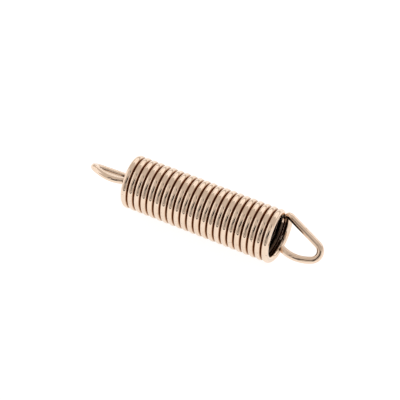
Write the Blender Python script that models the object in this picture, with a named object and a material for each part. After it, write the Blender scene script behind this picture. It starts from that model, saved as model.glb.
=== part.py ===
"""A close-wound extension spring of round wire, with a rounded V-shaped loop at each end.

The wire is one continuous piece. It is cut here at the sides of the coil, every half turn, because the
spring lengthens as the wire twists there: each half turn turns about the wire's own centre line, which
runs straight up or down at those places. The half turns tilt to and fro by the same angle, so the coil
opens along its axis and both loops stay in line.

+X is the coil's axis, towards the near loop, +Z is up, and the spring lies on its side on z = 0. Every
stretch is drawn in the frame of its first cross-section: local Z runs along the coil's axis, local -X
towards the middle of the half turn, and the coil's centre line passes through (0, -COIL_RADIUS).
"""

import math

import bpy
from mathutils import Vector

# Wire and coil
WIRE_RADIUS = 0.00125
COIL_RADIUS = 0.00825
PITCH = 0.00256
HALF_TURNS = 44
SECTION_GAP = 0.0003

# End loops, in the plane of the coil's axis and the point where the wire leaves the coil
NEAR_LOOP_ANGLE = math.radians(37.7)
FAR_LOOP_ANGLE = math.radians(47.6)
NEAR_REACH = 0.0151
FAR_REACH = 0.01465
CORNER_FROM_AXIS = 0.0086
CORNER_BEND = 0.0020
LEG_SLOPE = math.radians(24.4)
TIP_RADIUS = 0.0031
TIP_SWEEP = math.pi - 2 * LEG_SLOPE
BACK_RADIUS = 0.0130
BACK_SWEEP = math.radians(50)
BACK_OFFSET = 0.0014
BACK_WAVE = math.radians(263)

# How finely the curves are divided
HALF_TURN_SIDES = 10
PART_TURN_SIDES = 2
CORNER_POINTS = 5
TIP_SIDES = 8
BACK_SIDES = 4
SECTION_SIDES = 8
SECTION_RESOLUTION = (SECTION_SIDES - 4) // 2
FLAT_ROLL = math.pi / SECTION_SIDES

# The corners of the wire's faceted section stand out, so that its flats are one wire radius away
BEVEL_RADIUS = WIRE_RADIUS / math.cos(FLAT_ROLL)

COIL_LENGTH = PITCH * HALF_TURNS / 2
FAR_LENGTH = PITCH * FAR_LOOP_ANGLE / (2 * math.pi) + FAR_REACH + WIRE_RADIUS
NEAR_LENGTH = PITCH * NEAR_LOOP_ANGLE / (2 * math.pi) + NEAR_REACH + WIRE_RADIUS
COIL_START_X = (FAR_LENGTH - NEAR_LENGTH - COIL_LENGTH) / 2
AXIS_HEIGHT = COIL_RADIUS + WIRE_RADIUS

WIRE_COLOUR = (0.80, 0.62, 0.50, 1.0)
WIRE_ROUGHNESS = 0.15


def clear_scene():
    for old in list(bpy.data.objects):
        bpy.data.objects.remove(old, do_unlink=True)


def wire_material(name):
    material = bpy.data.materials.new(name)
    material.use_nodes = True
    shader = material.node_tree.nodes["Principled BSDF"]
    shader.inputs["Base Color"].default_value = WIRE_COLOUR
    shader.inputs["Metallic"].default_value = 1.0
    shader.inputs["Roughness"].default_value = WIRE_ROUGHNESS
    return material


def coil_point(angle, radius=COIL_RADIUS):
    """A point of the coil's helix, `angle` past the first section."""
    return Vector((-radius * math.sin(angle),
                   radius * math.cos(angle) - COIL_RADIUS,
                   PITCH * angle / (2 * math.pi)))


def coil_tangent(angle):
    direction = Vector((-COIL_RADIUS * math.cos(angle),
                        -COIL_RADIUS * math.sin(angle),
                        PITCH / (2 * math.pi)))
    return direction.normalized()


def arc_corners(sweep, sides):
    """Angles of the corners of straight sides that touch an arc, and the corners' radius factor."""
    step = sweep / sides
    angles = [step * (side + 0.5) for side in range(sides)]
    return angles, 1 / math.cos(step / 2)


def coil_arc(sweep, sides):
    """Corners of a stretch of the coil, from just past the first section."""
    angles, factor = arc_corners(sweep, sides)
    start = coil_tangent(0) * SECTION_GAP / 2
    return [start] + [coil_point(angle, COIL_RADIUS * factor) for angle in angles]


def half_turn_path():
    path = coil_arc(math.pi, HALF_TURN_SIDES)
    path.append(coil_point(math.pi) - coil_tangent(math.pi) * SECTION_GAP / 2)
    return path


def cubic(start, start_handle, end_handle, end, t):
    """A point of the cubic curve with these four control points."""
    s = 1 - t
    return (start * s ** 3 + start_handle * 3 * s * s * t
            + end_handle * 3 * s * t * t + end * t ** 3)


def loop_outline(reach):
    """The loop in its own plane, as (along the axis, out from the axis, aside) from where it starts.

    A straight leg leans in from the coil, a round tip turns it back, and a wider arc carries the free
    leg to its end. The free leg lies aside of the plane, by an offset that rises and falls smoothly.
    """
    leg = Vector((math.cos(LEG_SLOPE), -math.sin(LEG_SLOPE)))
    tip_x = reach - TIP_RADIUS
    tip_y = CORNER_FROM_AXIS - (TIP_RADIUS + tip_x * math.sin(LEG_SLOPE)) / math.cos(LEG_SLOPE)
    corners, factor = arc_corners(TIP_SWEEP, TIP_SIDES)
    facing = [math.pi / 2 - LEG_SLOPE - angle for angle in corners]
    radius = TIP_RADIUS * factor
    outline = [(tip_x + radius * math.cos(a), tip_y + radius * math.sin(a), 0.0) for a in facing]

    turned = math.pi / 2 - LEG_SLOPE - TIP_SWEEP
    back_x = tip_x + (TIP_RADIUS - BACK_RADIUS) * math.cos(turned)
    back_y = tip_y + (TIP_RADIUS - BACK_RADIUS) * math.sin(turned)
    corners, factor = arc_corners(BACK_SWEEP, BACK_SIDES)
    turns = [(turned - angle, BACK_RADIUS * factor) for angle in corners]
    turns.append((turned - BACK_SWEEP, BACK_RADIUS))
    outline += [(back_x + r * math.cos(a), back_y + r * math.sin(a), 0.0) for a, r in turns]
    return leg, set_free_leg_aside(outline)


def set_free_leg_aside(outline):
    """Moves the points past the middle of the tip aside, by a wave over the length behind the tip."""
    first = TIP_SIDES // 2
    lengths = [0.0]
    for before, after in zip(outline[first:], outline[first + 1:]):
        lengths.append(lengths[-1] + math.dist(before, after))
    for index, length in enumerate(lengths):
        x, y, _ = outline[first + index]
        wave = (1 - math.cos(BACK_WAVE * length / lengths[-1])) / 2
        outline[first + index] = (x, y, BACK_OFFSET * wave)
    return outline


def loop_path(start_angle, reach):
    """The part turn, the tight corner and the loop. The loop leaves the coil `start_angle` on."""
    outward = Vector((-math.sin(start_angle), math.cos(start_angle), 0))
    aside = Vector((-math.cos(start_angle), -math.sin(start_angle), 0))
    axis = Vector((0, 0, 1))
    start = Vector((0, -COIL_RADIUS, PITCH * start_angle / (2 * math.pi)))
    leg_2d, outline = loop_outline(reach)

    bend_angle = start_angle - CORNER_BEND / COIL_RADIUS
    path = coil_arc(bend_angle, PART_TURN_SIDES)
    leg = axis * leg_2d.x + outward * leg_2d.y
    bend_start = coil_point(bend_angle)
    bend_end = start + outward * CORNER_FROM_AXIS + leg * CORNER_BEND
    handle = CORNER_BEND * 4 / 3 * (math.sqrt(2) - 1)
    for index in range(CORNER_POINTS):
        t = index / (CORNER_POINTS - 1)
        path.append(cubic(bend_start, bend_start + coil_tangent(bend_angle) * handle,
                          bend_end - leg * handle, bend_end, t))
    path += [start + axis * x + outward * y + aside * z for x, y, z in outline]
    return path


def wire_curve(name, path, twist_mode, tilt):
    """A tube along straight runs. `tilt` turns its section about the wire."""
    curve = bpy.data.curves.new(name, "CURVE")
    curve.dimensions = "3D"
    curve.twist_mode = twist_mode
    curve.bevel_depth = BEVEL_RADIUS
    curve.bevel_resolution = SECTION_RESOLUTION
    curve.use_fill_caps = True
    spline = curve.splines.new("POLY")
    spline.points.add(len(path) - 1)
    for point, place in zip(spline.points, path):
        point.co = (*place, 1)
        point.tilt = tilt
    return curve


def tilt_facing(path, corner, facing):
    """The tilt that turns a flat of the section at this corner of the path towards `facing`."""
    untilted = wire_curve("untilted", path, "MINIMUM", 0)
    probe = bpy.data.objects.new("untilted", untilted)
    before = (path[corner] - path[corner - 1]).normalized()
    after = (path[corner + 1] - path[corner]).normalized()
    along = (before + after).normalized()
    offsets = [vertex.co - path[corner] for vertex in probe.to_mesh().vertices]
    offset = min(offsets, key=lambda offset: offset.length).copy()
    bpy.data.objects.remove(probe)
    bpy.data.curves.remove(untilted)
    return math.atan2(along.dot(offset.cross(facing)), offset.dot(facing)) + FLAT_ROLL


def place_wire(name, curve, parent, location, turn, collection):
    """Adds one stretch of wire, placed in the frame of the stretch that it grows from."""
    wire = bpy.data.objects.new(name, curve)
    wire.parent = parent
    wire.location = location
    wire.rotation_euler = turn
    collection.objects.link(wire)
    return wire


def build_spring():
    clear_scene()
    collection = bpy.data.collections.new("extension_spring")
    bpy.context.scene.collection.children.link(collection)
    material = wire_material("wire")

    curves = [wire_curve("half_turn", half_turn_path(), "Z_UP", FLAT_ROLL)]
    for name, angle, reach in (("loop_far", FAR_LOOP_ANGLE, FAR_REACH),
                               ("loop_near", NEAR_LOOP_ANGLE, NEAR_REACH)):
        path = loop_path(angle, reach)
        tip_corner = len(path) - (BACK_SIDES + 1) - TIP_SIDES // 2 - 1
        tilt = tilt_facing(path, tip_corner, Vector((0, 0, -1)))
        curves.append(wire_curve(name, path, "MINIMUM", tilt))
    for curve in curves:
        curve.materials.append(material)
    half_turn, far, near = curves

    last = place_wire("loop_far", far, None, (COIL_START_X, COIL_RADIUS, AXIS_HEIGHT),
                      (0, -math.pi / 2, 0), collection)
    location = (0, 0, 0)
    turn = (0, math.pi, 0)
    for number in range(1, HALF_TURNS + 1):
        last = place_wire(f"half_turn_{number:02d}", half_turn, last, location, turn, collection)
        location = (0, -2 * COIL_RADIUS, PITCH / 2)
        turn = (0, 0, math.pi)
    place_wire("loop_near", near, last, location, turn, collection)


build_spring()
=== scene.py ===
"""The looks of a close-wound extension spring with two V-shaped loops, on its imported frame.

The wire is drawn as smooth round tubes, one for each half turn and one for each loop. They meet end to
end, and their normals are those of the whole wire, so that it reads as one piece. World metres: +X is
the coil's axis, +Z is up, and the spring lies on z = 0.
"""

import math

import bpy
import numpy as np
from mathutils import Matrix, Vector


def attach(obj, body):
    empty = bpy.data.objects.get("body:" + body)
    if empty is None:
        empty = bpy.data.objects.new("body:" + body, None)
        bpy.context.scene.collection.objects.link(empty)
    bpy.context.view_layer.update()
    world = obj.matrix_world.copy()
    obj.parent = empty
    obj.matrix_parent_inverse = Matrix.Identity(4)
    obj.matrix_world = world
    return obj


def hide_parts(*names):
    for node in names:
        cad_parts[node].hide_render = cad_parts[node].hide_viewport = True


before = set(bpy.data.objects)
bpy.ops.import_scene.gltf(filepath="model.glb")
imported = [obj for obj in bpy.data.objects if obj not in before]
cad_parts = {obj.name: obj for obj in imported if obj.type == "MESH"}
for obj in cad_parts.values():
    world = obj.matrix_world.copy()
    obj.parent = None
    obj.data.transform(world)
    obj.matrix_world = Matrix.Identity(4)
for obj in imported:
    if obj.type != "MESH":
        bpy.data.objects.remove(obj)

# Wire and coil
WIRE_RADIUS = 0.00125
COIL_RADIUS = 0.00825
PITCH = 0.00256
HALF_TURNS = 44
AXIS_HEIGHT = COIL_RADIUS + WIRE_RADIUS
COIL_WIRE_LENGTH = HALF_TURNS * math.hypot(math.pi * COIL_RADIUS, PITCH / 2)
TURN_WIRE_LENGTH = COIL_WIRE_LENGTH * 2 / HALF_TURNS

# Each tube starts this far past its first cross-section, clear of the cap that faces it
CAP_GAP = 0.00002

# End loops, as (direction along the axis, angle where the loop leaves the coil, reach)
NEAR_LOOP = (1, math.radians(37.7), 0.0151)
FAR_LOOP = (-1, math.radians(47.6), 0.01465)
CORNER_FROM_AXIS = 0.0086
CORNER_BEND = 0.0020
LEG_SLOPE = math.radians(24.4)
TIP_RADIUS = 0.0031
TIP_SWEEP = math.pi - 2 * LEG_SLOPE
BACK_RADIUS = 0.0130
BACK_SWEEP = math.radians(50)
BACK_OFFSET = 0.0014
BACK_WAVE = math.radians(263)
SHEARED_EDGE = 0.00012

# The coil lies so that both loops' tips are equally far from the middle
FAR_LENGTH, NEAR_LENGTH = [PITCH * angle / (2 * math.pi) + reach + WIRE_RADIUS
                           for _, angle, reach in (FAR_LOOP, NEAR_LOOP)]
COIL_START_X = (FAR_LENGTH - NEAR_LENGTH - PITCH * HALF_TURNS / 2) / 2

# How finely the wire is divided
RING_SIDES = 48
AROUND = np.arange(RING_SIDES)
HALF_TURN_RINGS = 72
LOOP_RINGS = 260
ARC_POINTS = 240
LEG_POINTS = 80
CORNER_POINTS = 60
EDGE_POINTS = 6

# Colours of the wire
COPPER_DEEP = (0.85, 0.67, 0.52, 1)
COPPER_PALE = (0.88, 0.71, 0.57, 1)
STAIN = (0.70, 0.50, 0.37, 1)
DRAWING_LINE = (0.55, 0.40, 0.31, 1)
# Painted shade for the dark grooves where neighbouring turns touch
GROOVE_SHADE = (0.34, 0.155, 0.055, 1)
# Painted shade for the dark inner side of the coil, facing the bore
BORE_SHADE = (0.035, 0.020, 0.013, 1)
SPECK = (0.12, 0.07, 0.045, 1)

# Camera
CAMERA_POSITION = (0.1731, -0.3374, 0.4463)
CAMERA_TURN = (math.radians(40.95), 0, math.radians(27.14))
CAMERA_LENS = 151.7
CAMERA_SHIFT = (-0.01375, 0.0238)

# Light around the spring. A card is (name, direction, distance, width, height, brightness or grey), and
# its direction is (angle towards +X, angle up from the front), in degrees.
TENT_BRIGHTNESS = 0.68
TENT_TINT = (1.0, 0.92, 0.86)
FLOOR_COLOUR = 0.25
FLOOR_GLOW = 3.6
BRIGHT_PANELS = [("left_panel", (-72, 45), 0.8, 0.7, 1.1, 0.86),
                 ("right_panel", (78, 50), 0.8, 0.6, 1.0, 0.80),
                 ("back_panel", (0, 150), 0.8, 1.2, 0.5, 0.90)]
DARK_CARDS = [("camera_front", (22, 52), 0.60, 0.38, 0.24, 0.0),
              ("camera_operator", (1, 28), 0.66, 0.24, 0.40, 0.10),
              ("tripod_column", (30, 25), 0.60, 0.08, 0.32, 0.03),
              ("overhead_arm", (24, 88), 0.62, 0.09, 0.36, 0.22),
              ("left_pole", (-15, 48), 0.60, 0.06, 0.38, 0.05),
              ("right_pole", (58, 62), 0.60, 0.04, 0.60, 0.32)]

# The table's dark edge, as (one end, other end, bottom, top)
TABLE_EDGE = ((-0.9, -0.6), (0.50, -0.6), 0.020, 0.065)
FLOOR_HALF_SIZE = 1.5
SQUARE = ((-1, -1), (1, -1), (1, 1), (-1, 1))


class Value:
    """A shader socket, or a number, that can be added, multiplied and so on to make shader nodes."""

    def __init__(self, graph, source):
        self.graph = graph
        self.source = source

    def _math(self, operation, *others, swap=False):
        values = [self, *others]
        if swap:
            values.reverse()
        sockets = {place: value for place, value in enumerate(values)}
        return self.graph.node("ShaderNodeMath", {"operation": operation}, sockets)

    def __add__(self, other):
        return self._math("ADD", other)

    def __radd__(self, other):
        return self._math("ADD", other, swap=True)

    def __sub__(self, other):
        return self._math("SUBTRACT", other)

    def __rsub__(self, other):
        return self._math("SUBTRACT", other, swap=True)

    def __mul__(self, other):
        return self._math("MULTIPLY", other)

    def __rmul__(self, other):
        return self._math("MULTIPLY", other, swap=True)

    def __truediv__(self, other):
        return self._math("DIVIDE", other)

    def __rtruediv__(self, other):
        return self._math("DIVIDE", other, swap=True)

    def above(self, low, high):
        """0 up to low, 1 from high on, and a smooth rise between."""
        settings = {"interpolation_type": "SMOOTHSTEP"}
        return self.graph.node("ShaderNodeMapRange", settings, {0: self, 1: low, 2: high, 3: 0.0, 4: 1.0})


class Graph:
    """The node tree of one material."""

    def __init__(self, material):
        material.use_nodes = True
        self.tree = material.node_tree
        self.shader = self.tree.nodes["Principled BSDF"]

    def node(self, kind, settings, sockets, output=0):
        """Adds a node of this kind, and returns one of its outputs."""
        node = self.tree.nodes.new(kind)
        for name, value in settings.items():
            setattr(node, name, value)
        for place, value in sockets.items():
            self.feed(node.inputs[place], value)
        return Value(self, node.outputs[output])

    def feed(self, socket, value):
        """Links a value to a socket, or sets a constant on it."""
        if isinstance(value, Value):
            self.tree.links.new(value.source, socket)
        else:
            socket.default_value = value

    def mix(self, factor, first, second):
        """A colour between two colours."""
        return self.node("ShaderNodeMix", {"data_type": "RGBA"}, {0: factor, 6: first, 7: second}, 2)

    def noise(self, vector, scale, detail=2.0, rough=0.5):
        return self.node("ShaderNodeTexNoise", {}, {0: vector, 2: scale, 3: detail, 4: rough})

    def stretched(self, vector, amounts):
        return self.node("ShaderNodeVectorMath", {"operation": "MULTIPLY"}, {0: vector, 1: amounts})


def wire_material():
    """Bright copper-tinted spring wire: drawing lines, faint stains, painted shade in the grooves where
    turns touch, and painted shade on the side facing the bore.

    The piece's own attribute holds (length along the wire, r cos v, r sin v), with v = 0 away from the
    coil's axis, so the turns touch where r sin v is largest and face the bore where r cos v is negative.
    """
    material = bpy.data.materials.new("copper_tinted_wire")
    graph = Graph(material)
    place = graph.node("ShaderNodeAttribute", {"attribute_name": "along_wire"}, {}, 1)
    parts = [graph.node("ShaderNodeSeparateXYZ", {}, {0: place}, axis) for axis in range(3)]
    along, outward, sideways = parts[0], parts[1] / WIRE_RADIUS, parts[2] / WIRE_RADIUS

    lines = graph.noise(graph.stretched(place, (0.02, 1.0, 1.0)), 5200.0, 3.0, 0.6)
    drift = graph.noise(graph.stretched(place, (0.5, 1.0, 1.0)), 420.0, 3.0)
    stains = graph.noise(graph.stretched(place, (0.6, 1.0, 1.0)), 900.0, 4.0, 0.65)
    specks = graph.noise(place, 1500.0, 1.0).above(0.74, 0.79)
    in_coil = along.above(0.0, 0.001) * (1.0 - along.above(COIL_WIRE_LENGTH - 0.001, COIL_WIRE_LENGTH))
    not_first = along.above(TURN_WIRE_LENGTH, TURN_WIRE_LENGTH + 0.002)
    last_turn = COIL_WIRE_LENGTH - TURN_WIRE_LENGTH
    not_last = 1.0 - along.above(last_turn - 0.002, last_turn)
    wavy = (stains - 0.5) * 0.08
    # Painted shade in the grooves where neighbouring turns touch, left off the free sides of the first and
    # last turns
    groove_shade = (sideways + wavy).above(0.58, 0.78) * not_first
    groove_shade = groove_shade + (wavy - sideways).above(0.62, 0.80) * not_last
    # Painted shade on the side of the wire facing the bore; on the last turn it covers less
    bore_shade = 1.0 - (outward + (drift - 0.5) * 0.2 + (1.0 - not_last) * 0.9).above(-0.35, 0.1)

    copper = graph.mix(drift.above(0.3, 0.7), COPPER_DEEP, COPPER_PALE)
    tinted = graph.mix(stains.above(0.52, 0.78) * 0.3, copper, STAIN)
    tinted = graph.mix(lines.above(0.45, 0.7) * 0.22, tinted, DRAWING_LINE)
    # The colour darkened by the painted groove shade, then by the painted shade facing the bore
    shaded = graph.mix(groove_shade * in_coil * 0.95, tinted, GROOVE_SHADE)
    shaded = graph.mix(bore_shade * in_coil * 0.96, shaded, BORE_SHADE)
    spotted = graph.mix(specks * 0.7, shaded, SPECK)
    graph.feed(graph.shader.inputs["Base Color"], spotted)
    rough = 0.015 + lines * 0.03 + stains * 0.03 + specks * 0.3 + (groove_shade + bore_shade) * 0.08
    graph.feed(graph.shader.inputs["Roughness"], rough)
    graph.shader.inputs["Metallic"].default_value = 1.0
    relief = graph.node("ShaderNodeBump", {},
                        {"Strength": 0.08, "Distance": 0.00001, "Height": lines - specks})
    graph.feed(graph.shader.inputs["Normal"], relief)
    return material


def unit(vectors):
    return vectors / np.linalg.norm(vectors, axis=-1, keepdims=True)


def helix(angles):
    """Points of the coil's centre line: (start + pitch t / 2 pi, R cos t, height + R sin t)."""
    return np.stack([COIL_START_X + PITCH * angles / (2 * math.pi),
                     COIL_RADIUS * np.cos(angles),
                     AXIS_HEIGHT + COIL_RADIUS * np.sin(angles)], axis=-1)


def helix_frames(angles):
    """The helix's tangent (c, -R sin t, R cos t) and outward normal (0, cos t, sin t) at each angle."""
    zero = np.zeros_like(angles)
    rise = np.full_like(angles, PITCH / (2 * math.pi))
    tangents = unit(np.stack([rise, -COIL_RADIUS * np.sin(angles), COIL_RADIUS * np.cos(angles)], axis=-1))
    outward = np.stack([zero, np.cos(angles), np.sin(angles)], axis=-1)
    return tangents, outward


def arc(centre, radius, first, last, points):
    """Points on a circle, from the angle first to the angle last."""
    angles = np.linspace(first, last, points)
    return np.stack([centre[0] + radius * np.cos(angles), centre[1] + radius * np.sin(angles)], axis=-1)


def loop_outline(reach):
    """The leg, the tip's arc and the free leg's arc in the loop's plane, as (along, outward, aside).

    The free leg lies aside of the plane by offset (1 - cos(wave s)) / 2, where s is the share of the
    way from the middle of the tip to the end.
    """
    leg = np.array([math.cos(LEG_SLOPE), -math.sin(LEG_SLOPE)])
    first = math.pi / 2 - LEG_SLOPE
    turned = first - TIP_SWEEP
    tip = np.array([reach - TIP_RADIUS, 0.0])
    tip[1] = CORNER_FROM_AXIS - (TIP_RADIUS + tip[0] * math.sin(LEG_SLOPE)) / math.cos(LEG_SLOPE)
    back = tip + (TIP_RADIUS - BACK_RADIUS) * np.array([math.cos(turned), math.sin(turned)])
    corner = np.array([0.0, CORNER_FROM_AXIS])
    rounds = arc(tip, TIP_RADIUS, first, turned, ARC_POINTS)
    shares = np.linspace(0, 1, LEG_POINTS)[:-1, None]
    straight = (corner + leg * CORNER_BEND) * (1 - shares) + rounds[0] * shares
    behind = arc(back, BACK_RADIUS, turned, turned - BACK_SWEEP, ARC_POINTS)[1:]
    flat = np.concatenate([straight, rounds, behind])

    middle = len(straight) + len(rounds) // 2
    steps = np.linalg.norm(np.diff(flat, axis=0), axis=1)
    lengths = np.concatenate([[0.0], np.cumsum(steps)])
    share = np.clip((lengths - lengths[middle]) / (lengths[-1] - lengths[middle]), 0, 1)
    aside = BACK_OFFSET * (1 - np.cos(BACK_WAVE * share)) / 2
    return leg, np.column_stack([flat, aside])


def loop_path(loop):
    """The part turn, the tight corner and the loop, as points evenly spread along the wire.

    The corner is the cubic B(t) = (1-t)^3 P0 + 3 t (1-t)^2 P1 + 3 t^2 (1-t) P2 + t^3 P3.
    """
    direction, angle, reach = loop
    end = HALF_TURNS * math.pi if direction > 0 else 0.0
    start_angle = end + direction * angle
    bend_angle = end + direction * (angle - CORNER_BEND / COIL_RADIUS)
    axis = np.array([direction, 0.0, 0.0])
    outward = np.array([0.0, math.cos(start_angle), math.sin(start_angle)])
    aside = np.array([0.0, -math.sin(start_angle), math.cos(start_angle)]) * direction
    start = helix(np.array([start_angle]))[0]
    start[1:] = (0.0, AXIS_HEIGHT)

    leg_2d, outline = loop_outline(reach)
    leg = axis * leg_2d[0] + outward * leg_2d[1]
    shape = start + outline @ np.array([axis, outward, aside])
    turn = helix(np.linspace(end, bend_angle, LEG_POINTS))
    tangents, _ = helix_frames(np.array([bend_angle]))
    handle = CORNER_BEND * 4 / 3 * (math.sqrt(2) - 1)
    controls = np.array([turn[-1], turn[-1] + tangents[0] * direction * handle,
                         shape[0] - leg * handle, shape[0]])
    t = np.linspace(0, 1, CORNER_POINTS)[1:-1, None]
    weights = np.hstack([(1 - t) ** 3, 3 * t * (1 - t) ** 2, 3 * t ** 2 * (1 - t), t ** 3])
    return evenly(np.concatenate([turn, weights @ controls, shape]), LOOP_RINGS)


def evenly(points, count):
    """The same path, as points an even distance apart."""
    steps = np.linalg.norm(np.diff(points, axis=0), axis=1)
    lengths = np.concatenate([[0.0], np.cumsum(steps)])
    wanted = np.linspace(0, lengths[-1], count)
    return np.stack([np.interp(wanted, lengths, column) for column in points.T], axis=-1)


def carried_frames(points, tangent, normal):
    """Tangents along a path, and a normal carried along it with no twist.

    Each normal is the last one less its part along the new tangent, made one unit long.
    """
    tangents = unit(np.gradient(points, axis=0))
    tangents[0] = tangent
    normals = [normal]
    for along in tangents[1:]:
        last = normals[-1]
        normals.append(unit(last - along * (last @ along)))
    return tangents, np.array(normals)


def flat_end():
    """Steps from the side to the middle of a flat end, as (how far out, radius, lean of the normal)."""
    return np.array([(0.0, 1.0, 1.0), (0.0, 0.5, 1.0)])


def sheared_end():
    """The same steps for the cut end: a rolled edge, sin a out and 1 - cos a in, then a dished face."""
    turn = np.linspace(0, math.pi / 2, EDGE_POINTS)
    edge = np.column_stack([SHEARED_EDGE * np.sin(turn),
                            1 - SHEARED_EDGE / WIRE_RADIUS * (1 - np.cos(turn)), np.sin(turn)])
    dish = np.array([(0.9, 0.78, 0.97), (0.55, 0.5, 0.96), (0.2, 0.2, 1.0)]) * (SHEARED_EDGE, 1, 1)
    return np.concatenate([edge, dish])


def strips(rows):
    """Quads between each row of ring points and the next, facing out on a path that runs forwards."""
    low = rows[:-1, None] + AROUND
    high = rows[1:, None] + AROUND
    return np.stack([low, np.roll(low, -1, 1), np.roll(high, -1, 1), high], axis=-1).reshape(-1, 4)


def ring_directions(normals, binormals):
    """N cos v + B sin v for each point of the path and each angle v around it."""
    angles = AROUND[None, :, None] * 2 * math.pi / RING_SIDES
    return normals[:, None] * np.cos(angles) + binormals[:, None] * np.sin(angles)


def strip_corners(directions):
    """The ring directions of each corner of the quads that strips() makes."""
    after = np.roll(directions, -1, 1)
    return np.stack([directions[:-1], after[:-1], after[1:], directions[1:]], axis=2).reshape(-1, 3)


def tube(name, points, tangents, normals, lengths, material, cut_end=False):
    """A closed round tube along a path: P + r (N cos v + B sin v), where B is T x N.

    Its normals are the round wire's own up to each end, so that two tubes meet with no seam.
    """
    around = ring_directions(normals, np.cross(tangents, normals))
    last = len(points) - 1
    vertices = [points[:, None] + WIRE_RADIUS * around]
    vertices[0][0] += tangents[0] * CAP_GAP
    faces = [strips(np.arange(len(points)) * RING_SIDES)]
    facing = [strip_corners(around)]
    places = [np.concatenate([np.broadcast_to(lengths[:, None, None], (*around.shape[:2], 1)),
                              around_place(len(points), 1.0)], axis=-1)]
    fans = []
    count = len(points) * RING_SIDES
    for row, sign, steps in ((0, -1, flat_end()), (last, 1, sheared_end() if cut_end else flat_end())):
        out, radius, lean = steps.T[:, :, None, None]
        axis = tangents[row] * sign
        middle = vertices[0][row].mean(0)
        rings = middle + axis * out + WIRE_RADIUS * radius * around[row]
        leaning = unit(axis * lean + around[row] * np.sqrt(1 - lean ** 2))
        rows = np.concatenate([[row * RING_SIDES], count + np.arange(len(steps) - 1) * RING_SIDES])
        pole = count + (len(steps) - 1) * RING_SIDES
        vertices.append(rings[1:])
        vertices.append(middle + axis * out[-1:])
        places.append(np.concatenate([np.full((len(steps) - 1, RING_SIDES, 1), lengths[row]),
                                      around_place(len(steps) - 1, radius[1:])], axis=-1))
        places.append(np.array([lengths[row], 0, 0]))
        quads, corners = strips(rows), strip_corners(leaning)
        spokes = rows[-1] + AROUND
        fan = np.stack([spokes, np.roll(spokes, -1), np.full(RING_SIDES, pole)], axis=-1)
        if sign < 0:
            quads, fan = quads[:, ::-1], fan[:, ::-1]
            corners = corners.reshape(-1, 4, 3)[:, ::-1].reshape(-1, 3)
        faces.append(quads)
        facing.append(corners)
        fans.append((fan, np.broadcast_to(axis, (3 * RING_SIDES, 3))))
        count = pole + 1

    mesh = bpy.data.meshes.new(name)
    polygons = np.concatenate(faces).tolist() + np.concatenate([fan for fan, _ in fans]).tolist()
    mesh.from_pydata(joined(vertices).tolist(), [], polygons)
    mesh.polygons.foreach_set("use_smooth", np.ones(len(polygons), bool))
    attribute = mesh.attributes.new("along_wire", "FLOAT_VECTOR", "POINT")
    attribute.data.foreach_set("vector", joined(places).astype(np.float32).ravel())
    mesh.normals_split_custom_set(joined(facing + [facing_out for _, facing_out in fans]))
    mesh.materials.append(material)
    wire = bpy.data.objects.new(name, mesh)
    bpy.context.scene.collection.objects.link(wire)
    return wire


def joined(blocks):
    return np.concatenate([np.asarray(block).reshape(-1, 3) for block in blocks])


def around_place(rows, radius):
    """Where a ring's points lie in the wire's section: (r cos v, r sin v)."""
    angles = AROUND * 2 * math.pi / RING_SIDES
    section = np.stack([np.cos(angles), np.sin(angles)], axis=-1) * WIRE_RADIUS
    return np.broadcast_to(section, (rows, RING_SIDES, 2)) * radius


def stretch_of_wire(node, points, tangents, normals, start_length, material, direction=1, cut_end=False):
    """One tube that stands for a CAD node and rides with it. Returns the length reached."""
    steps = np.linalg.norm(np.diff(points, axis=0), axis=1)
    lengths = start_length + direction * np.concatenate([[0.0], np.cumsum(steps)])
    wire = tube(f"wire_{node}", points, tangents, normals, lengths, material, cut_end)
    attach(wire, node)
    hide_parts(node)
    return lengths[-1]


def build_spring(material):
    length = 0.0
    for number in range(1, HALF_TURNS + 1):
        angles = np.linspace((number - 1) * math.pi, number * math.pi, HALF_TURN_RINGS)
        tangents, outward = helix_frames(angles)
        node = f"half_turn_{number:02d}"
        length = stretch_of_wire(node, helix(angles), tangents, outward, length, material)
    for node, loop, start_length in (("loop_far", FAR_LOOP, 0.0), ("loop_near", NEAR_LOOP, length)):
        direction = loop[0]
        end = np.array([HALF_TURNS * math.pi if direction > 0 else 0.0])
        tangents, outward = helix_frames(end)
        points = loop_path(loop)
        carried = carried_frames(points, tangents[0] * direction, outward[0])
        stretch_of_wire(node, points, *carried, start_length, material, direction, cut_end=True)


def stage_material(name, grey, glow):
    material = bpy.data.materials.new(name)
    shader = Graph(material).shader
    shader.inputs["Base Color"].default_value = (grey, grey, grey, 1)
    shader.inputs["Roughness"].default_value = 0.9
    shader.inputs["Emission Color"].default_value = (grey, grey, grey, 1)
    shader.inputs["Emission Strength"].default_value = glow
    return material


def stage_piece(name, corners, material):
    """A flat four-cornered piece of the stage."""
    mesh = bpy.data.meshes.new(name)
    mesh.from_pydata(corners, [], [(0, 1, 2, 3)])
    mesh.materials.append(material)
    piece = bpy.data.objects.new(name, mesh)
    bpy.context.scene.collection.objects.link(piece)
    return piece


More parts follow.
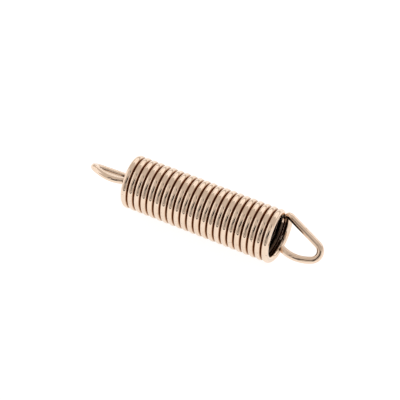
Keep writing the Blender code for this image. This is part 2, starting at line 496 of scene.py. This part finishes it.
def card(name, direction, distance, width, height, material):
    """A card square to its direction from the spring, which shows only in reflections and in its light.

    The direction is (sin a, -cos a cos b, cos a sin b), for the angle a towards +X and b up from the
    front.
    """
    towards, up_front = (math.radians(angle) for angle in direction)
    back = Vector((math.sin(towards), -math.cos(towards) * math.cos(up_front),
                   math.cos(towards) * math.sin(up_front)))
    right = Vector((0, 0, 1)).cross(back).normalized()
    up = back.cross(right)
    middle = back * distance + Vector((0, 0, AXIS_HEIGHT))
    corners = [middle + right * (x * width / 2) + up * (y * height / 2)
               for x, y in SQUARE]
    piece = stage_piece(name, corners, material)
    piece.visible_camera = False


def build_stage():
    scene = bpy.context.scene
    scene.view_settings.view_transform = "Standard"
    floor = stage_material("white_floor", FLOOR_COLOUR, FLOOR_GLOW)
    corners = [(x * FLOOR_HALF_SIZE, y * FLOOR_HALF_SIZE, 0) for x, y in SQUARE]
    stage_piece("floor", corners, floor)

    for name, direction, distance, width, height, brightness in BRIGHT_PANELS:
        glow = brightness - TENT_BRIGHTNESS
        card(name, direction, distance, width, height, stage_material(name, 1.0, glow))
    for name, direction, distance, width, height, grey in DARK_CARDS:
        card(name, direction, distance, width, height, stage_material(name, grey, 0.0))
    (x0, y0), (x1, y1), low, high = TABLE_EDGE
    edge = stage_piece("table_edge", [(x0, y0, low), (x1, y1, low), (x1, y1, high), (x0, y0, high)],
                       stage_material("table_edge", 0.12, 0.0))
    edge.visible_camera = False

    world = bpy.data.worlds.new("tent")
    scene.world = world
    world.use_nodes = True
    background = world.node_tree.nodes["Background"]
    background.inputs["Color"].default_value = (*TENT_TINT, 1)
    background.inputs["Strength"].default_value = TENT_BRIGHTNESS


def set_camera():
    lens = bpy.data.cameras.new("camera")
    lens.lens = CAMERA_LENS
    lens.sensor_width = 36
    lens.shift_x, lens.shift_y = CAMERA_SHIFT
    lens.clip_start = 0.01
    camera = bpy.data.objects.new("camera", lens)
    camera.location = CAMERA_POSITION
    camera.rotation_euler = CAMERA_TURN
    bpy.context.scene.collection.objects.link(camera)
    bpy.context.scene.camera = camera


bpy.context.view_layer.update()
set_camera()
build_stage()
build_spring(wire_material())
